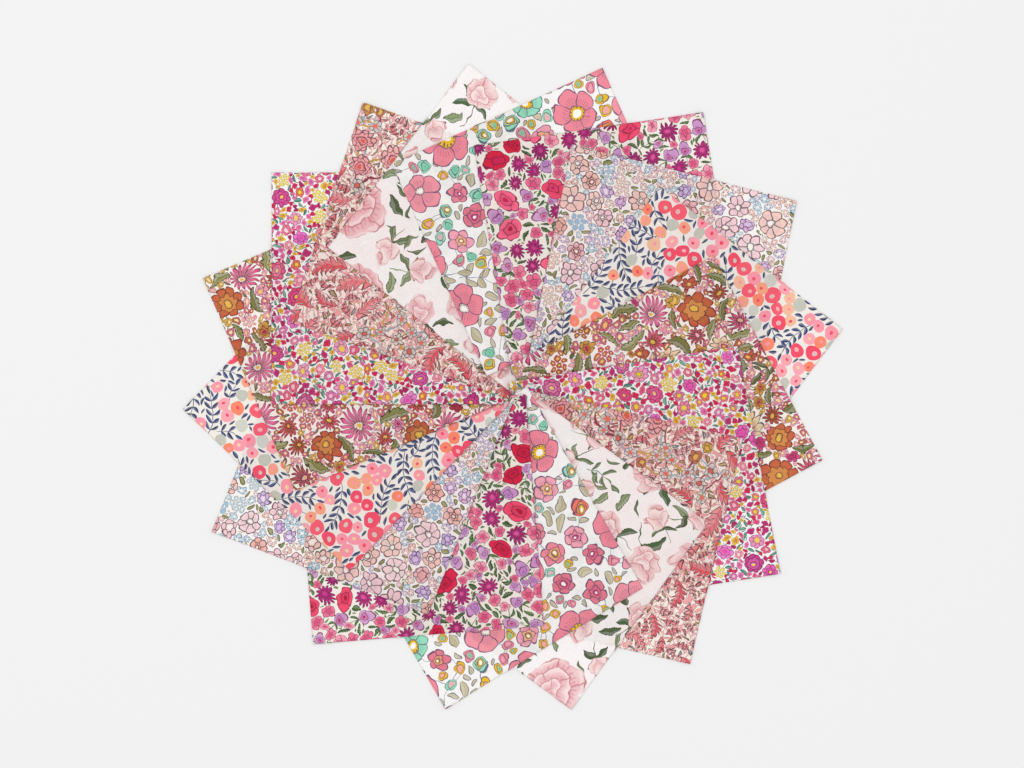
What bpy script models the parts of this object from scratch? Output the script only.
"""A charm pack: sixteen 5 inch squares of printed cotton, laid flat in a fan.

Each square lies on its anticlockwise neighbour, all the way round, so the fan has
no top and no bottom square. Metres, +Z up, the fan lies on z = 0. Seen from above
with +Y up, the squares are numbered clockwise from the one at the top.
"""
import math
from collections import namedtuple

import bmesh
import bpy
import numpy as np

MM = 0.001

# Driving sizes, in millimetres
SIDE = 127.0            # a 5 inch cut
THICKNESS = 1.0         # of a square's solid
CLEARANCE = 0.35        # between one square and the next, measured straight up
LAYER = THICKNESS + CLEARANCE
LAYERS_UNDER = 7        # how many neighbours can lie under one square near the middle

# A square stays up for HOLD past the edge of the one under it, then comes down over FALL
HOLD = 0.35
FALL = 1.9
SNAP = 0.0005           # points closer than this count as one

# One row for a square. corner_x, corner_y: its corner that lies on the neighbour.
# bearing: direction from there along the outer edge, clockwise from +Y.
# skew: how far the cut is out of square there.
Square = namedtuple("Square", "print_name corner_x corner_y bearing skew")
SQUARES = (
    Square("rose", -100.1, 74.9, 37.2, 1.2),
    Square("blossom", -65.3, 120.5, 65.3, 0.5),
    Square("poppy", -20.3, 130.7, 81.6, -0.9),
    Square("pastel", 33.4, 131.4, 104.0, -2.5),
    Square("berry", 81.5, 108.5, 127.9, -1.1),
    Square("garden", 110.8, 70.6, 151.9, -0.3),
    Square("ditsy", 123.8, 21.0, 169.1, 1.9),
    Square("foliage", 126.7, -29.5, 193.0, -0.3),
    Square("rose", 107.8, -75.6, 216.0, 0.1),
    Square("blossom", 72.1, -111.3, 238.3, 1.8),
    Square("poppy", 18.1, -132.0, 265.3, 0.1),
    Square("pastel", -45.4, -125.9, 290.8, 1.0),
    Square("berry", -88.5, -101.8, 314.0, -0.2),
    Square("garden", -118.4, -58.3, 336.5, 0.4),
    Square("ditsy", -131.2, -10.8, 0.0, 0.0),
    Square("foliage", -121.3, 34.3, 18.4, 0.9),
)

# The mean colour of each print, sRGB
PRINT_COLOUR = {
    "rose": "E1D2CF",
    "blossom": "D8C0BA",
    "poppy": "C4989E",
    "pastel": "D3C0BE",
    "berry": "D7B1AF",
    "garden": "C29C90",
    "ditsy": "D0A8AA",
    "foliage": "CAA39E",
}
CLOTH_ROUGHNESS = 0.9


def clear_scene():
    """Take out whatever the scene holds."""
    for found in list(bpy.data.objects):
        bpy.data.objects.remove(found, do_unlink=True)


def heading(degrees):
    """The unit vector of a direction given clockwise from +Y."""
    turn = math.radians(degrees)
    return np.array([math.sin(turn), math.cos(turn)])


class Cut:
    """One square's outline: its first corner and the directions of two edges."""

    def __init__(self, square, shift):
        self.corner = np.array([square.corner_x, square.corner_y]) - shift
        self.outward = heading(square.bearing)
        self.inward = heading(square.bearing + 90.0 + square.skew)
        edges = np.column_stack([self.outward, self.inward])
        self.to_edges = np.linalg.inv(edges)
        self.squareness = abs(np.linalg.det(edges))

    def point(self, out, along):
        """The place at `out` mm along the outer edge and `along` mm towards the middle."""
        return self.corner + self.outward * out + self.inward * along

    def corners(self):
        """The four corners, in order round the outline."""
        return [self.point(0.0, 0.0), self.point(SIDE, 0.0), self.point(SIDE, SIDE), self.point(0.0, SIDE)]

    def beyond(self, place):
        """How far a place is past the nearer edge of each pair, negative inside."""
        out, along = self.to_edges @ (place - self.corner)
        return (max(-out, out - SIDE) * self.squareness, max(-along, along - SIDE) * self.squareness)

    def lift(self, place):
        """How much this square lifts what lies on it there: 1 on it, 0 past its edge."""
        past = max(self.beyond(place))
        return min(max(1.0 - (past - HOLD) / FALL, 0.0), 1.0)

    def folds(self):
        """Lines on which cloth lying over this square bends, as a point and a normal."""
        lines = []
        for offset in (HOLD, HOLD + FALL):
            far = offset / self.squareness
            for edge, across in ((self.outward, self.inward), (self.inward, self.outward)):
                normal = np.array([-edge[1], edge[0]])
                lines.append((self.corner - across * far, normal))
                lines.append((self.corner + across * (SIDE + far), normal))
        return lines

    def mitres(self):
        """The four lines through a corner and the same corner of the outline let out."""
        far = (HOLD + FALL) / self.squareness
        lines = []
        for out, away_out in ((0.0, -1.0), (SIDE, 1.0)):
            for along, away_along in ((0.0, -1.0), (SIDE, 1.0)):
                corner = self.point(out, along)
                run = self.point(out + away_out * far, along + away_along * far) - corner
                lines.append((corner, np.array([-run[1], run[0]])))
        return lines


def box_centre():
    """The centre of the whole fan's outline, in the table's own coordinates."""
    places = np.array([p for square in SQUARES for p in Cut(square, np.zeros(2)).corners()])
    return (places.min(axis=0) + places.max(axis=0)) / 2.0


def split(flat, faces, line):
    """Cut some faces of a flat mesh along a line."""
    place, normal = line
    parts = set(faces)
    for face in faces:
        parts.update(face.edges)
        parts.update(face.verts)
    bmesh.ops.bisect_plane(flat, geom=list(parts), dist=SNAP,
                           plane_co=(place[0], place[1], 0.0), plane_no=(normal[0], normal[1], 0.0))


def on_mitre_patch(face, under):
    """Whether a face lies past both edges at a corner of `under`, where its ramps meet."""
    middle = face.calc_center_median()
    nearer, farther = sorted(under.beyond(np.array([middle.x, middle.y])))
    return nearer > HOLD and farther < HOLD + FALL


def divided_outline(cut, below):
    """A square's flat outline, cut wherever the cloth bends over a square below."""
    flat = bmesh.new()
    flat.faces.new([flat.verts.new((x, y, 0.0)) for x, y in cut.corners()])
    for under in below:
        for line in under.folds():
            split(flat, flat.faces[:], line)
    for under in below:
        for line in under.mitres():
            split(flat, [f for f in flat.faces if on_mitre_patch(f, under)], line)
    bmesh.ops.remove_doubles(flat, verts=flat.verts[:], dist=SNAP)
    return flat


def sheet_mesh(name, cut, below):
    """A closed sheet of even height that follows the squares under it."""
    flat = divided_outline(cut, below)
    flat.verts.index_update()
    vertices = []
    for level in (0.0, THICKNESS):
        for vertex in flat.verts:
            place = np.array([vertex.co.x, vertex.co.y])
            height = LAYER * sum(under.lift(place) for under in below) + level
            vertices.append((place[0] * MM, place[1] * MM, height * MM))
    count = len(flat.verts)
    faces = []
    for face in flat.faces:
        ring = [vertex.index for vertex in face.verts]
        faces.append(ring[::-1])
        faces.append([index + count for index in ring])
    for edge in flat.edges:
        if edge.is_boundary:
            first, second = (vertex.index for vertex in edge.verts)
            faces.append([first, second, second + count, first + count])
    flat.free()
    mesh = bpy.data.meshes.new(name)
    mesh.from_pydata(vertices, [], faces)
    solid = bmesh.new()
    solid.from_mesh(mesh)
    bmesh.ops.recalc_face_normals(solid, faces=solid.faces[:])
    solid.to_mesh(mesh)
    solid.free()
    return mesh


def linear(hex_colour):
    """An sRGB hex colour as linear red, green and blue."""
    channels = [int(hex_colour[i:i + 2], 16) / 255.0 for i in (0, 2, 4)]
    return [c / 12.92 if c <= 0.04045 else ((c + 0.055) / 1.055) ** 2.4 for c in channels]


def cloth_material(print_name):
    """Matt printed cotton lawn in the print's mean colour."""
    material = bpy.data.materials.new(f"cotton_lawn_{print_name}")
    material.use_nodes = True
    shader = material.node_tree.nodes["Principled BSDF"]
    shader.inputs["Base Color"].default_value = (*linear(PRINT_COLOUR[print_name]), 1.0)
    shader.inputs["Roughness"].default_value = CLOTH_ROUGHNESS
    shader.inputs["Metallic"].default_value = 0.0
    return material


def build():
    clear_scene()
    shift = box_centre()
    cuts = [Cut(square, shift) for square in SQUARES]
    materials = {name: cloth_material(name) for name in PRINT_COLOUR}
    for number, square in enumerate(SQUARES):
        name = f"charm_{number + 1:02d}_{square.print_name}"
        below = [cuts[number - k] for k in range(1, LAYERS_UNDER + 1)]
        mesh = sheet_mesh(name, cuts[number], below)
        mesh.materials.append(materials[square.print_name])
        piece = bpy.data.objects.new(name, mesh)
        bpy.context.scene.collection.objects.link(piece)


build()
